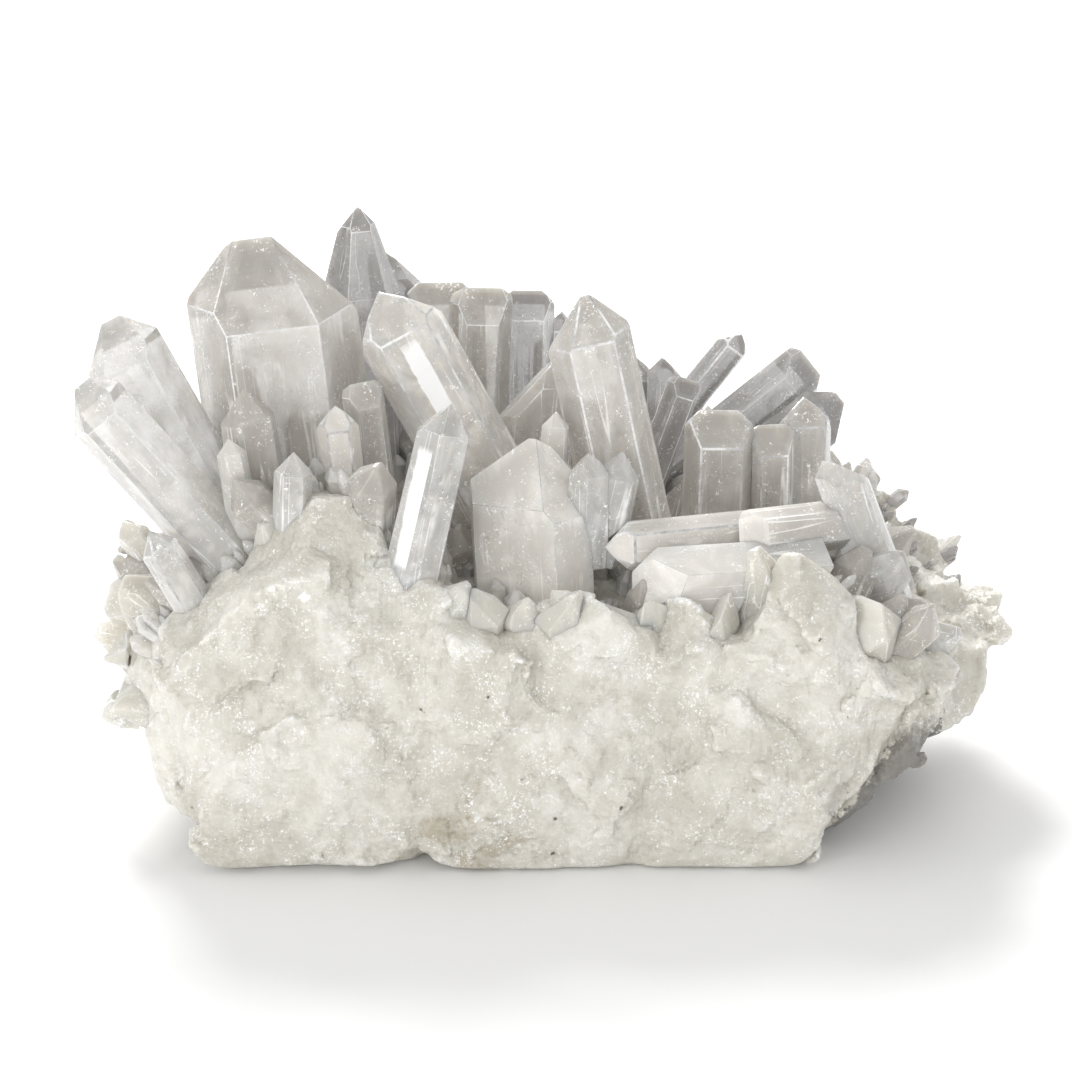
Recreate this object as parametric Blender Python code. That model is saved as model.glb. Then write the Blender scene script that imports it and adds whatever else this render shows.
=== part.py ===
"""A quartz crystal cluster: a broken matrix of granular quartz, and the crystals that grow from it.

Metres, +Z up. The cluster stands on the flat patch under its matrix, at Z = 0, and its box is centred on
the origin in X and Y. +X runs along its longest side, and the low front wall of the matrix looks to -Y.

Every crystal keeps quartz's own angles: six prism faces 60 degrees apart, and six tip faces that lean
38.2 degrees from the long axis. Crystals differ only in how far each face lies from their middle.
"""

import math
import random

import bmesh
import bpy
from mathutils import Matrix, Vector

MM = 0.001

GAP = 0.3 * MM  # clear space between pieces that touch
BLANK = 400 * MM  # side of the cube that every piece is cut from
PRISM_FACES = 6
HALF_TURN = 3  # prism faces from one side of a crystal to the opposite one
ON_PLANE = 1e-8  # a corner within this of a cut (metres) counts as lying on it
NEARLY_FRONTWARD = 0.95  # cosine beyond which an axis is too near the front way to set its faces by
ROOT_LENGTH = 10 * MM  # how far a crystal runs on into the matrix below its foot
TIP_LEAN = math.radians(38.2)  # between a tip face and the long axis of a quartz crystal
FOOT_GIRTH = 2.1  # a tapering crystal's greatest width at its foot, as a share of the width at its shoulder
FACE_WANDER = 0.10  # how far a prism face strays from its even place, as a share of it
UP = Vector((0, 0, 1))
FRONT = Vector((0, -1, 0))

# How a crystal ends: how far its prism faces taper towards the tip in degrees, then how much higher than the
# tip each tip face meets the axis, in crystal widths. Faces run from the front one round by the right. A low
# face is a large one.
TIPS = {
    "even": (0.0, (0.00, 0.16, 0.00, 0.16, 0.00, 0.16)),
    "pointed": (0.8, (0.00, 0.04, 0.02, 0.05, 0.00, 0.03)),
    "left_high": (0.5, (0.10, 0.00, -0.20, 0.10, 0.30, 0.25)),
    "right_high": (0.5, (0.10, 0.30, 0.30, 0.15, -0.20, 0.00)),
    "blunt": (0.0, (-0.10, 0.28, 0.22, -0.06, 0.24, 0.30)),
    "chisel": (0.0, (-0.14, 0.20, 0.34, -0.12, 0.30, 0.18)),
    "ridge_left": (0.0, (0.00, 0.045, 0.05, 0.00, 0.24, 0.20)),
    "ridge_right": (0.0, (0.00, 0.22, 0.24, 0.00, 0.03, 0.05)),
    "roof": (0.0, (0.03, 0.14, 0.14, 0.00, 0.00, 0.00)),
    "one_sided": (0.0, (0.00, 0.05, 0.12, 0.00, 0.02, 0.50)),
    "spire": (15.0, (0.00, 0.10, 0.06, 0.10, 0.00, 0.06)),
}

# The crystals: name, tip, foot (both mm), width (mm), turn (degrees), thickness as a share of the width, tip.
# One that comes earlier in the list grew first, and those after it are cut where they meet it.
CRYSTALS = [
    ("giant_left", (-43.3, 8, 90), (-37.5, 8, 32), 27.0, 6, 0.88, "ridge_left"),
    ("main_centre", (6.1, -2, 83), (15.2, -2, 41), 13.6, 2, 1.00, "roof"),
    ("window_crystal", (-25.2, 2, 82.8), (-4.3, 2, 43), 14.6, 8, 0.90, "even"),
    ("back_left_spire", (-30, 30, 89.3), (-28.5, 28, 45), 6.4, 14, 0.90, "spire"),
    ("outer_left_upper", (-67.8, 0, 78.2), (-48, 0, 38), 13.2, 10, 0.90, "ridge_right"),
    ("outer_left_lower", (-70.2, -15, 72.3), (-41.4, -14, 37), 11.8, 6, 0.90, "ridge_right"),
    ("front_centre", (-1.4, -12, 63.3), (0, -13, 32), 20.6, -25, 0.85, "one_sided"),
    ("back_right_b", (45.8, 27, 64.6), (26, 24, 49), 9.4, 6, 0.90, "chisel"),
    ("back_right_c", (42.7, 14, 62), (42.5, 12, 40), 10.0, 12, 0.85, "even"),
    ("back_right_d", (50.0, 23, 58.3), (32, 20, 44), 11.0, 14, 0.90, "ridge_left"),
    ("back_block_a", (-16.5, 33, 77), (-16, 31, 42), 13.0, 0, 0.90, "blunt"),
    ("back_block_b", (-9.3, 27, 78), (-11, 25, 45), 10.5, 8, 0.90, "chisel"),
    ("centre_back_plate", (0, 12, 69), (-3, 10, 38), 16.0, 25, 0.70, "right_high"),
    ("reclining_a", (9.8, -19, 48.0), (36, -9, 47), 7.8, 12, 0.90, "even"),
    ("mid_right_a", (28.8, 8, 62.5), (28.3, 8, 38), 11.2, 3, 0.90, "blunt"),
    ("front_blade", (-13.2, -22, 72), (-20.9, -24, 39), 8.7, 26, 0.80, "pointed"),
    ("right_upright", (45.4, -10, 59.5), (54, -8, 37), 8.0, 12, 0.90, "left_high"),
    ("back_left_shoulder", (-24.5, 38, 80), (-22, 36, 45), 10.4, 12, 0.90, "left_high"),
    ("back_rough_a", (-2.0, 34, 75), (-3, 32, 44), 9.0, 5, 0.90, "blunt"),
    ("back_rough_b", (2.0, 37, 69.5), (1, 35, 42), 7.5, 15, 0.90, "right_high"),
    ("back_right_a", (33.8, 32, 67.4), (20.0, 30, 50), 6.2, 12, 0.85, "even"),
    ("mid_right_b", (37.3, 9, 59.5), (37.8, 9, 38), 8.0, 5, 0.90, "blunt"),
    ("dark_back_a", (24.4, 18, 64.5), (17.8, 16, 46), 6.0, 10, 0.90, "chisel"),
    ("dark_back_b", (22, 33, 62.5), (21, 31, 43), 7.1, 0, 0.90, "left_high"),
    ("dark_back_c", (16, 37, 62), (15.5, 35, 42), 7.4, 9, 0.90, "even"),
    ("spear_left", (-45.6, -10, 70.5), (-42.0, -10, 40), 8.6, 24, 0.85, "pointed"),
    ("mid_left_point", (-31.2, -13, 69), (-28.9, -13, 42), 6.5, 4, 0.95, "even"),
    ("mid_left_back", (-27.6, -5, 71), (-24.8, -5, 43), 6.5, 20, 0.90, "chisel"),
    ("small_upright_left", (-37.1, -21, 64), (-38, -21, 44), 5.7, 2, 0.95, "pointed"),
    ("spear_left_small", (-47.4, -16, 64.5), (-44.5, -15, 44), 4.6, 12, 0.90, "pointed"),
    ("twin_left", (7.4, -16, 62.2), (7.2, -16, 54), 6.8, 24, 0.90, "even"),
    ("twin_right", (12.6, -14, 61.8), (10.8, -14, 54), 7.2, 4, 0.90, "pointed"),
    ("small_left_of_main", (2.5, -7, 66), (1, -7, 45), 4.4, 12, 0.90, "pointed"),
    ("reclining_b", (29.8, -16, 48.7), (46, -10, 48.5), 8.0, 14, 0.85, "chisel"),
    ("front_slab", (13, -23, 41.5), (34, -18, 41), 14.0, 8, 0.85, "blunt"),
    ("right_rhomb", (58, -14, 43), (42, -12, 38), 8.6, 20, 0.80, "chisel"),
    ("right_wedge", (66.5, -15, 29), (49, -16, 34), 9.0, 12, 0.80, "chisel"),
    ("left_low", (-59, -24, 52.5), (-48, -22, 31), 6.2, 18, 0.85, "pointed"),
    ("left_side_a", (-66.5, 0, 45.5), (-55, 0, 28), 5.6, 8, 0.90, "even"),
    ("left_side_b", (-69.5, -4, 34.5), (-54, -4, 30), 7.4, 20, 0.90, "blunt"),
    ("left_side_c", (-69.3, -9, 25.5), (-54, -7, 27), 7.8, 5, 0.90, "pointed"),
    ("left_side_d", (-69.5, -14, 17.5), (-52, -11, 23), 7.0, 14, 0.90, "even"),
    ("back_slope_a", (-54, 33, 66), (-44, 24, 38), 9.0, 10, 0.90, "even"),
    ("back_slope_b", (-41, 42, 55), (-36, 28, 34), 8.0, 22, 0.90, "pointed"),
    ("back_slope_c", (-17, 46, 60), (-15, 32, 34), 7.4, 5, 0.85, "left_high"),
    ("back_slope_d", (8, 46, 54), (6, 30, 32), 9.4, 16, 0.90, "chisel"),
    ("back_slope_e", (29, 44, 51), (25, 30, 32), 7.0, 2, 0.90, "pointed"),
    ("back_slope_f", (50, 38, 45), (43, 28, 30), 7.6, 18, 0.90, "even"),
    ("back_slope_g", (-66, 18, 56), (-52, 14, 34), 7.8, 12, 0.90, "pointed"),
    ("back_slope_h", (-5, 48, 38), (-5, 32, 26), 6.6, 20, 0.90, "even"),
]

# Short blunt crystals on the front rim that are grown together with the matrix, in the same columns.
RIM_CRYSTALS = [
    ("rim_block", (38.0, -25, 49.5), (42, -25, 24), 17.5, -18, 0.90, "pointed"),
    ("rim_right", (23.2, -27, 43.5), (24, -26, 24), 9.0, 20, 0.90, "left_high"),
    ("rim_middle", (10.0, -28, 44.5), (12.5, -27, 24), 12.0, 14, 0.90, "left_high"),
    ("rim_middle_small", (3.6, -29, 44.5), (4.5, -28, 24), 8.4, 8, 0.90, "blunt"),
    ("rim_left", (-10.0, -29, 43.5), (-9, -28, 24), 6.4, 24, 0.90, "pointed"),
    ("rim_left_edge", (-14.8, -28, 46.0), (-16, -28, 24), 7.0, 10, 0.90, "even"),
    ("rim_far_right", (56.5, 26, 43.5), (52, 24, 26), 8.4, 16, 0.90, "blunt"),
    ("rim_far_corner", (63.5, 25, 37.5), (57, 22, 22), 8.8, 4, 0.90, "chisel"),
    ("rim_edge", (66.5, 8, 33.5), (62, 8, 16), 7.4, 10, 0.90, "blunt"),
    ("rim_edge_low", (75.0, 5, 28.0), (60, 5, 20), 9.0, 4, 0.90, "blunt"),
    ("rim_slab", (58.0, -4, 36.0), (52, -4, 20), 9.0, 22, 0.90, "chisel"),
]

# The core of the matrix: planes, each a point (mm) on it and the way that it looks.
CORE = [
    ((0, 0, -4), (0, 0, -1)),
    ((-14, -31, 0), (0.08, -0.80, -0.60)),
    ((26, -31.5, 0), (-0.05, -0.74, -0.67)),
    ((-42, -24, 0), (-0.58, -0.50, -0.64)),
    ((42, -26, 0), (0.52, -0.62, -0.58)),
    ((-34, 22, 0), (-0.46, 0.42, -0.78)),
    ((-8, 22, 0), (-0.10, 0.55, -0.83)),
    ((38, 18, 0), (0.55, 0.46, -0.70)),
    ((0, -33, 0), (0.00, -1.00, 0.02)),
    ((-50, -31, 10), (-0.62, -0.78, 0.00)),
    ((46, -30, 20), (0.40, -0.92, 0.00)),
    ((-59, 0, 20), (-1.00, 0.05, 0.06)),
    ((-47, 0, 0), (-0.74, 0.00, -0.67)),
    ((47, 0, 0), (0.84, 0.00, -0.54)),
    ((66, 0, 20), (1.00, 0.00, 0.10)),
    ((10, 25, 0), (0.12, 0.66, -0.74)),
    ((0, 38, 20), (0.00, 1.00, 0.12)),
    ((-45, 33, 20), (-0.60, 0.80, 0.05)),
    ((55, 33, 20), (0.60, 0.80, 0.05)),
    ((0, -10, 38), (0.02, -0.06, 1.00)),
    ((46, 0, 36), (0.45, 0.00, 0.89)),
    ((-50, 0, 40), (-0.40, -0.10, 0.91)),
    ((0, 30, 41), (0.00, 0.55, 0.83)),
]

# Lumps that are fused into the matrix: middle and size (mm), lean to the right and to the back (degrees).
LUMPS = [
    ((-34, -20, 38), (25, 26, 37), 3, 8),
    ((-25, -22, 35), (24, 22, 27), 16, 4),
    ((-43, -22, 33), (26, 24, 28), -8, 4),
    ((-44, -24, 22), (34, 20, 40), -8, 0),
    ((-52, -18, 22), (19, 26, 27), -10, 0),
    ((-33, -27, 12), (40, 18, 30), 4, 0),
    ((-10, -27, 20), (34, 18, 40), 3, 2),
    ((8, -28, 14), (34, 16, 40), -4, 0),
    ((28, -27, 12), (34, 18, 36), 5, 0),
    ((-4, -27, 29), (15, 13, 20), -3, 4),
    ((18, -25, 27), (20, 14, 18), 6, 3),
    ((44, -23, 24), (26, 18, 30), 8, 4),
    ((50, -19, 22), (24, 22, 24), 16, 0),
    ((56, -15, 24), (20, 16, 16), 24, 0),
    ((61, 0, 20), (20, 28, 20), 24, 0),
    ((66, 8, 22), (18, 24, 16), 18, -8),
    ((58, 18, 25), (18, 20, 20), 10, -10),
    ((60, 25, 25), (14, 14, 18), 12, -10),
    ((50, 28, 28), (16, 14, 20), -6, -12),
    ((44, 20, 30), (22, 22, 22), 4, -8),
    ((-54, 6, 27), (18, 28, 24), -12, 0),
    ((-58, -6, 25), (14, 18, 20), -10, 0),
    ((-40, 22, 31), (28, 20, 24), -6, -10),
    ((-14, 26, 33), (34, 20, 26), 0, -10),
    ((14, 26, 32), (30, 20, 24), 5, -8),
    ((-20, 34, 22), (30, 16, 24), 4, 12),
    ((12, 34, 20), (34, 16, 26), -6, 10),
    ((40, 32, 21), (24, 16, 20), 8, 12),
    ((-46, 30, 22), (20, 18, 22), -6, 10),
    ((-30, 30, 12), (26, 18, 20), 10, -6),
    ((4, 28, 8), (30, 18, 18), -8, 4),
    ((30, 26, 10), (24, 20, 20), 12, 6),
    ((-50, 8, 14), (18, 26, 22), -16, 8),
    ((-44, 26, 14), (20, 18, 18), 14, 10),
    ((-6, -24, 6), (30, 18, 18), 8, 6),
    ((22, -26, 5), (24, 16, 14), -6, -8),
    ((-38, -24, 6), (22, 16, 18), 6, 8),
    ((44, 8, 14), (22, 28, 20), 20, 0),
]
FRONT_UNDERCUT = ((48, 0, 0), (0.84, 0.00, -0.54))  # where the front of the matrix broke off at the right
BACK_UNDERCUT = ((58.5, 0, 0), (0.84, 0.00, -0.54))  # the slab behind it reaches further
SLAB_FRONT = -9  # mm: lumps whose middle is nearer than this belong to the front
LUMP_CUTS = 11  # faces broken off each lump
LUMP_REACH = (0.86, 1.0)  # how far out those faces lie, as a share of the lump's own round outline
LUMP_SEED = 7

CRYSTAL_LOOK = {"color": (0.80, 0.80, 0.79, 1), "roughness": 0.08}
MATRIX_LOOK = {"color": (0.84, 0.80, 0.73, 1), "roughness": 0.55}


def clear_scene():
    for obj in list(bpy.data.objects):
        bpy.data.objects.remove(obj, do_unlink=True)


def new_collection(name):
    collection = bpy.data.collections.new(name)
    bpy.context.scene.collection.children.link(collection)
    return collection


def new_material(name, look):
    material = bpy.data.materials.new(name)
    material.use_nodes = True
    shader = material.node_tree.nodes["Principled BSDF"]
    shader.inputs["Base Color"].default_value = look["color"]
    shader.inputs["Roughness"].default_value = look["roughness"]
    shader.inputs["Metallic"].default_value = 0.0
    material.diffuse_color = look["color"]
    return material


def cut_away(mesh, point, normal):
    """Removes what lies beyond a plane and closes the cut with one face."""
    everything = mesh.verts[:] + mesh.edges[:] + mesh.faces[:]
    found = bmesh.ops.bisect_plane(
        mesh, geom=everything, dist=ON_PLANE, plane_co=point, plane_no=normal, clear_outer=True
    )
    rim = [item for item in found["geom_cut"] if isinstance(item, bmesh.types.BMEdge)]
    if rim:
        bmesh.ops.edgeloop_fill(mesh, edges=rim)


def cut_from_cube(name, planes, collection, grow=0.0):
    """A solid with one face on each plane, cut from a cube. grow moves every face outwards."""
    mesh = bmesh.new()
    bmesh.ops.create_cube(mesh, size=BLANK)
    for point, normal in planes:
        normal = Vector(normal).normalized()
        cut_away(mesh, Vector(point) + normal * grow, normal)
    bmesh.ops.recalc_face_normals(mesh, faces=mesh.faces)
    bmesh.ops.triangulate(mesh, faces=mesh.faces)
    data = bpy.data.meshes.new(name)
    mesh.to_mesh(data)
    mesh.free()
    solid = bpy.data.objects.new(name, data)
    collection.objects.link(solid)
    return solid


def millimetres(point):
    return Vector(point) * MM


def crystal_planes(name, tip, foot, width, turn, thickness, tip_style):
    """The planes of a crystal's faces: six along it, six at its tip, and the cut through its root."""
    tip, foot = millimetres(tip), millimetres(foot)
    width *= MM
    axis = (tip - foot).normalized()
    front = (FRONT - axis * FRONT.dot(axis)).normalized()
    if abs(FRONT.dot(axis)) > NEARLY_FRONTWARD:
        front = (UP - axis * UP.dot(axis)).normalized()
    wander = random.Random(name)
    planes = [(foot - axis * ROOT_LENGTH, -axis)]
    taper, rises = TIPS[tip_style]
    taper = math.radians(taper)
    shoulder = tip - axis * width / 2
    for number, rise in enumerate(rises):
        angle = math.radians(turn) + number * math.tau / PRISM_FACES
        outwards = Matrix.Rotation(angle, 3, axis) @ front
        reach = width / 2 * math.cos(math.pi / PRISM_FACES)
        if number % HALF_TURN == 0:
            reach *= thickness
        reach *= 1 + wander.uniform(-FACE_WANDER, FACE_WANDER)
        if taper > 0:
            planes.append((foot + outwards * reach * FOOT_GIRTH, outwards))
        side = outwards * math.cos(taper) + axis * math.sin(taper)
        planes.append((shoulder + outwards * reach, side))
        slope = outwards * math.cos(TIP_LEAN) + axis * math.sin(TIP_LEAN)
        planes.append((tip + axis * width * rise, slope))
    return planes


def lump_planes(middle, size, lean_right, lean_back, dice):
    """The planes of a broken lump: faces at random round an egg shape, turned to its lean."""
    middle = millimetres(middle)
    half = millimetres(size) / 2
    turn = Matrix.Rotation(math.radians(lean_right), 3, "Y")
    turn @= Matrix.Rotation(math.radians(-lean_back), 3, "X")
    looks = [Vector(way) for way in ((1, 0, 0), (-1, 0, 0), (0, 1, 0), (0, -1, 0), (0, 0, 1), (0, 0, -1))]
    reaches = [1.0] * len(looks)
    for _ in range(LUMP_CUTS):
        looks.append(Vector([dice.gauss(0, 1) for _ in range(3)]).normalized())
        reaches.append(dice.uniform(*LUMP_REACH))
    planes = []
    for look, reach in zip(looks, reaches):
        distance = Vector([look[i] * half[i] for i in range(3)]).length * reach
        planes.append((middle + turn @ (look * distance), turn @ look))
    point, look = FRONT_UNDERCUT if middle.y < SLAB_FRONT * MM else BACK_UNDERCUT
    planes.append((millimetres(point), look))
    return planes


def evaluated_mesh(obj):
    """Replaces an object's mesh by the one its modifiers make, and removes the modifiers."""
    bpy.context.view_layer.update()
    graph = bpy.context.evaluated_depsgraph_get()
    data = bpy.data.meshes.new_from_object(obj.evaluated_get(graph))
    data.name = obj.name
    obj.modifiers.clear()
    obj.data = data


def combine(obj, others, operation):
    """Joins the others to an object, or cuts them from it.

    The faces of neighbouring crystals run nearly parallel. There the exact solver leaves edges open, and the
    manifold solver closes every body.
    """
    for other in others:
        modifier = obj.modifiers.new(other.name, "BOOLEAN")
        modifier.operation = operation
        modifier.solver = "MANIFOLD"
        modifier.object = other
    evaluated_mesh(obj)


def keep_largest_body(obj):
    """Deletes splinters that a cut left loose beside the main body, and says how many bodies there were."""
    mesh = bmesh.new()
    mesh.from_mesh(obj.data)
    unseen = set(mesh.verts)
    bodies = []
    while unseen:
        body = set()
        edge = [unseen.pop()]
        while edge:
            vertex = edge.pop()
            body.add(vertex)
            for link in vertex.link_edges:
                other = link.other_vert(vertex)
                if other in unseen:
                    unseen.discard(other)
                    edge.append(other)
        bodies.append(body)
    largest = max(bodies, key=spread)
    loose = [vertex for body in bodies if body is not largest for vertex in body]
    bmesh.ops.delete(mesh, geom=loose, context="VERTS")
    mesh.to_mesh(obj.data)
    mesh.free()
    return len(bodies)


def spread(vertices):
    """The volume of the box round some vertices."""
    sides = [max(v.co[i] for v in vertices) - min(v.co[i] for v in vertices) for i in range(3)]
    return sides[0] * sides[1] * sides[2]


def make_matrix(name, collection, grow=0.0):
    """The matrix: its core, with every lump joined to it, cut flat underneath."""
    core = [(millimetres(point), look) for point, look in CORE]
    matrix = cut_from_cube(name, core, collection, grow)
    dice = random.Random(LUMP_SEED)
    lumps = []
    for number, lump in enumerate(LUMPS):
        planes = lump_planes(*lump, dice)
        lumps.append(cut_from_cube(f"{name}_lump_{number}", planes, collection, grow))
    for crystal in RIM_CRYSTALS:
        lumps.append(cut_from_cube(f"{name}_{crystal[0]}", crystal_planes(*crystal), collection, grow))
    combine(matrix, lumps, "UNION")
    for lump in lumps:
        bpy.data.objects.remove(lump, do_unlink=True)
    ground = cut_from_cube(f"{name}_ground", [(Vector((0, 0, -grow)), UP)], collection)
    combine(matrix, [ground], "DIFFERENCE")
    bpy.data.objects.remove(ground, do_unlink=True)
    return matrix


def boxes_meet(one, other):
    def box(obj):
        points = [vertex.co for vertex in obj.data.vertices]
        return [(min(p[i] for p in points), max(p[i] for p in points)) for i in range(3)]

    return all(a[0] < b[1] and b[0] < a[1] for a, b in zip(box(one), box(other)))


def make_crystals(collection, cutters, grown_matrix, material):
    """Every crystal, each cut where it meets the matrix or a crystal that grew before it."""
    grown = []
    for crystal in CRYSTALS:
        name = crystal[0]
        planes = crystal_planes(*crystal)
        solid = cut_from_cube(name, planes, collection)
        combine(solid, [other for other in grown if boxes_meet(solid, other)] + [grown_matrix], "DIFFERENCE")
        bodies = keep_largest_body(solid)
        solid.data.materials.append(material)
        print(f"{name}: {bodies} bodies, {len(solid.data.polygons)} faces")
        grown.append(cut_from_cube(f"{name}_cutter", planes, cutters, GAP))
    for cutter in grown:
        bpy.data.objects.remove(cutter, do_unlink=True)


def centre_on_origin(collection):
    """Moves every mesh so that the cluster's box is centred over the origin and stands on Z = 0."""
    points = [vertex.co for obj in collection.objects for vertex in obj.data.vertices]
    low = Vector([min(point[i] for point in points) for i in range(3)])
    high = Vector([max(point[i] for point in points) for i in range(3)])
    shift = Vector((-(low.x + high.x) / 2, -(low.y + high.y) / 2, -low.z))
    for obj in collection.objects:
        obj.data.transform(Matrix.Translation(shift))
    print("shift", [round(value / MM, 2) for value in shift], "size", [round(v / MM, 1) for v in high - low])


def main():
    clear_scene()
    cluster = new_collection("quartz_cluster")
    cutters = new_collection("cutters")
    matrix = make_matrix("matrix", cluster)
    matrix.data.materials.append(new_material("milky_quartz", MATRIX_LOOK))
    grown_matrix = make_matrix("matrix_cutter", cutters, GAP)
    make_crystals(cluster, cutters, grown_matrix, new_material("clear_quartz", CRYSTAL_LOOK))
    bpy.data.objects.remove(grown_matrix, do_unlink=True)
    centre_on_origin(cluster)


main()
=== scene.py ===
# %% [markdown]
# # A quartz crystal cluster
# Clear and milky six-sided points grow from a broken lump of granular quartz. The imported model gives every
# crystal and the rock their place and size. This script gives them their looks: the sugary broken rock,
# the glassy crystals with frosted edges, the veils inside them and the crust of tiny points between them.
# Lengths are in metres, as Blender counts them, and MM turns millimetres into metres.

# %% Load the frame
import math
import random

import bmesh
import bpy
import numpy as np
from mathutils import Matrix, Vector, noise
from mathutils.bvhtree import BVHTree
from mathutils.kdtree import KDTree


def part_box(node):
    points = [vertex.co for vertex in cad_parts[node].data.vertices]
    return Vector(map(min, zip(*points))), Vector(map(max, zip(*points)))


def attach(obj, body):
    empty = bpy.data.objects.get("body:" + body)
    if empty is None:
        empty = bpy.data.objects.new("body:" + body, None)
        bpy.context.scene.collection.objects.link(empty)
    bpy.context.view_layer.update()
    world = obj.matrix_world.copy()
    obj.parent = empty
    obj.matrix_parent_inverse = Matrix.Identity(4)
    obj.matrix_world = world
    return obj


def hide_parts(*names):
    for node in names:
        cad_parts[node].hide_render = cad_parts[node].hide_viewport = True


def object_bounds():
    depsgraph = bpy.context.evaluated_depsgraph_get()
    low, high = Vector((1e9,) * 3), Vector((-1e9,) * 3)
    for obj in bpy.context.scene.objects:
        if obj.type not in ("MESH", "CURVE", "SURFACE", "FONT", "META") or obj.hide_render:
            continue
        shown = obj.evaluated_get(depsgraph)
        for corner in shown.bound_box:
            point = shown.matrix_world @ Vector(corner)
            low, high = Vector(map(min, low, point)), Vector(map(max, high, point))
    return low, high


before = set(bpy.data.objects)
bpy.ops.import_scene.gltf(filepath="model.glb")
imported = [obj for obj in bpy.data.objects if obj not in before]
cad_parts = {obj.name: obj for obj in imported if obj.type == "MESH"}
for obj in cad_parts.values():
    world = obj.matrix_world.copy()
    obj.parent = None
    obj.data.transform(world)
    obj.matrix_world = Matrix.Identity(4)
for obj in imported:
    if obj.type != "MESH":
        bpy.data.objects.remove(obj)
cad_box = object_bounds()
MM = 0.001
ROCK = "matrix"
CRYSTALS = sorted(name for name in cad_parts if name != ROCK)
box_low, box_high = cad_box
# The middle of the patch that the cluster stands on. Places given in numbers are measured from it.
FOOT = Vector(((box_low[0] + box_high[0]) / 2, (box_low[1] + box_high[1]) / 2, box_low[2]))
rock_low, rock_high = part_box(ROCK)
print("frame:", len(CRYSTALS), "crystals, box", [round((b - a) / MM, 1) for a, b in zip(*cad_box)], "mm")

# %% [markdown]
# Blender's tools act on whatever is selected, and the loaded pieces come in selected. So each step first
# deselects everything, then selects the one object that it works on.

# %% Small helpers for working as by hand
MERGE_DISTANCE = 0.001 * MM
FLAT_ANGLE = math.radians(1)


def select_only(obj):
    bpy.ops.object.select_all(action="DESELECT")
    bpy.context.view_layer.objects.active = obj
    obj.select_set(True)


def start_editing(obj, mode="VERT"):
    select_only(obj)
    bpy.ops.object.mode_set(mode="EDIT")
    bpy.ops.mesh.select_mode(type=mode)
    bpy.ops.mesh.select_all(action="SELECT")


def stop_editing():
    bpy.ops.object.mode_set(mode="OBJECT")


def select_top_face(obj):
    """In edit mode: leaves only the highest face selected, ready to be extruded."""
    bpy.ops.mesh.select_all(action="DESELECT")
    mesh = bmesh.from_edit_mesh(obj.data)
    max(mesh.faces, key=lambda face: face.calc_center_median().z).select_set(True)
    bmesh.update_edit_mesh(obj.data)


def apply_modifier(obj, kind, **settings):
    select_only(obj)
    modifier = obj.modifiers.new(kind.lower(), kind)
    for name, value in settings.items():
        setattr(modifier, name, value)
    bpy.ops.object.modifier_apply(modifier=modifier.name)


def joined(parts):
    """Several objects made into one, which keeps the first one's name."""
    select_only(parts[0])
    for part in parts:
        part.select_set(True)
    bpy.ops.object.join()
    return bpy.context.active_object


def copy_of_node(node, name):
    """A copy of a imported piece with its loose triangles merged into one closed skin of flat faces."""
    piece = bpy.data.objects.new(name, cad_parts[node].data.copy())
    bpy.context.scene.collection.objects.link(piece)
    piece.data.materials.clear()
    start_editing(piece)
    bpy.ops.mesh.remove_doubles(threshold=MERGE_DISTANCE)
    bpy.ops.mesh.dissolve_limited(angle_limit=FLAT_ANGLE)
    stop_editing()
    return piece


def place_in_cluster(piece):
    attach(piece, "root")


# %% [markdown]
# Materials are networks of nodes. To keep them readable, a number in the network is wrapped in a small
# class, so that a mask can be written as an expression such as `1 - mask * 0.5`. Each operation adds one
# Math node.

# %% Shader maths as expressions


class Number:
    """One number that a material works out at every point of a surface."""

    def __init__(self, finish, socket):
        self.finish = finish
        self.socket = socket

    def maths(self, operation, *values):
        node = self.finish.add("ShaderNodeMath", {"operation": operation}, dict(enumerate(values)))
        return Number(self.finish, node.outputs[0])

    def __add__(self, other):
        return self.maths("ADD", self, other)

    def __sub__(self, other):
        return self.maths("SUBTRACT", self, other)

    def __rsub__(self, other):
        return self.maths("SUBTRACT", other, self)

    def __mul__(self, other):
        return self.maths("MULTIPLY", self, other)

    __radd__ = __add__
    __rmul__ = __mul__

    def distance_to(self, value):
        return self.maths("ABSOLUTE", self - value)

    def ramp(self, low, high):
        """0 below low, 1 above high, with a soft step between them."""
        settings = {"interpolation_type": "SMOOTHSTEP"}
        sockets = {"Value": self, "From Min": low, "From Max": high}
        node = self.finish.add("ShaderNodeMapRange", settings, sockets)
        return Number(self.finish, node.outputs["Result"])


# %% [markdown]
# A finish is one material while it is being wired up. Each method adds a node or two, so that a recipe
# reads as a list of what the surface has on it: clouds, cells, a bump, a shader.

# %% Materials as recipes


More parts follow.
